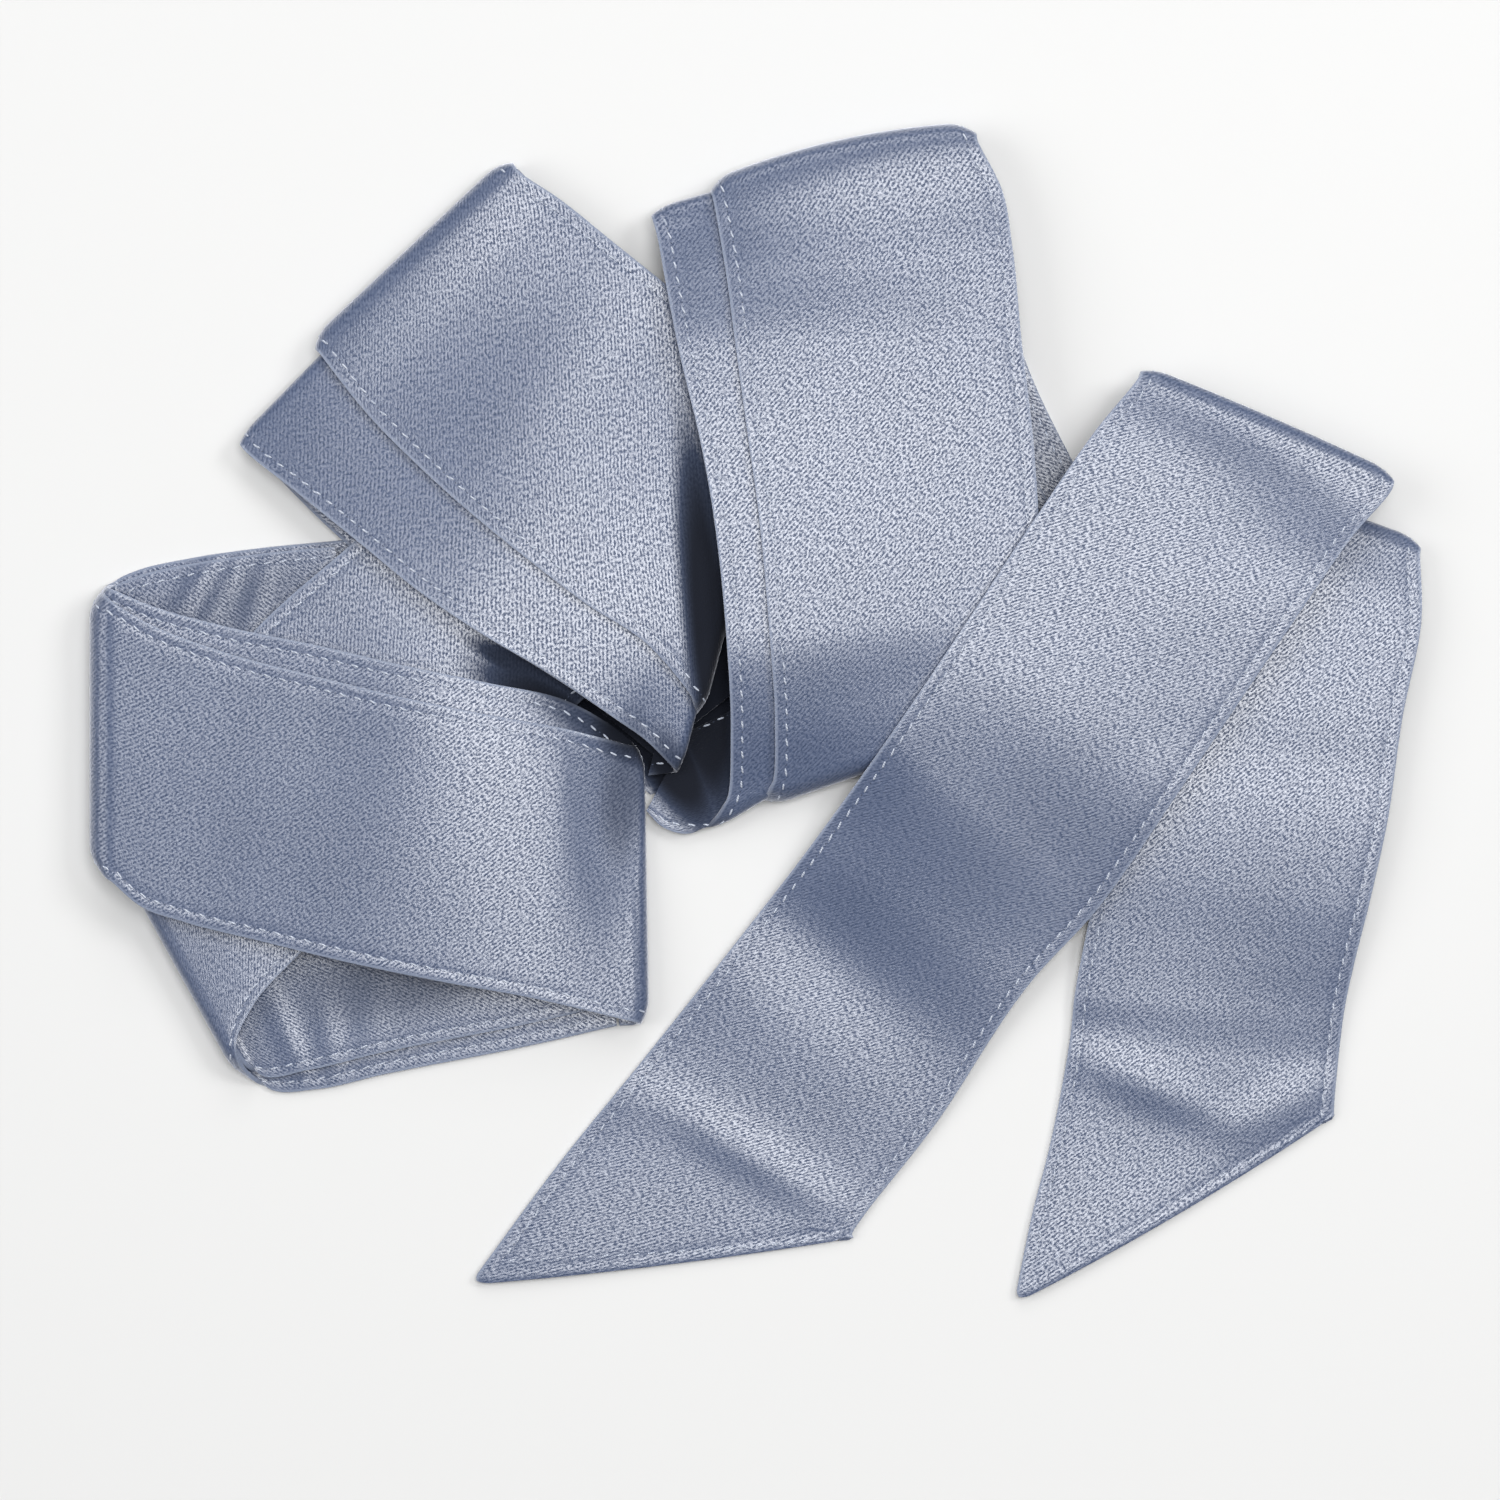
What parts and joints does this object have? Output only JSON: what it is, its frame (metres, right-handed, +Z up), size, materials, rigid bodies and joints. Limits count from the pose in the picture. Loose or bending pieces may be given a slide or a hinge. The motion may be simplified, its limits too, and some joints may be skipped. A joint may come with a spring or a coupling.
{
  "type": "satin sash",
  "caption": "Long narrow satin dress sash, doubled on itself and laid flat in loose fan folds, with two slanting pointed ends.",
  "frame": {"origin": "centre of the bounding box on the surface the sash lies on", "axes": "+Z up, away from the surface; +X towards the tails, +Y away from their points"},
  "size_m": [0.2671, 0.237, 0.0142],
  "materials": {
    "left_loop_outer": "dusty blue satin",
    "left_loop_inner": "dusty blue satin",
    "low_band_outer": "dusty blue satin",
    "low_band_inner": "dusty blue satin",
    "upper_loop_outer": "dusty blue satin",
    "upper_loop_inner": "dusty blue satin",
    "middle_loop_outer": "dusty blue satin",
    "middle_loop_inner": "dusty blue satin",
    "tail_upper": "dusty blue satin",
    "tail_lower": "dusty blue satin",
    "hidden_folds_middle": "dusty blue satin",
    "hidden_folds_right": "dusty blue satin"
  },
  "bodies": {
    "root": {"left_loop_outer": "left_loop_outer", "left_loop_inner": "left_loop_inner", "low_band_outer": "low_band_outer", "low_band_inner": "low_band_inner", "upper_loop_outer": "upper_loop_outer", "upper_loop_inner": "upper_loop_inner", "middle_loop_outer": "middle_loop_outer", "middle_loop_inner": "middle_loop_inner", "tail_upper": "tail_upper", "tail_lower": "tail_lower", "hidden_folds_middle": "hidden_folds_middle", "hidden_folds_right": "hidden_folds_right"}
  },
  "joints": []
}
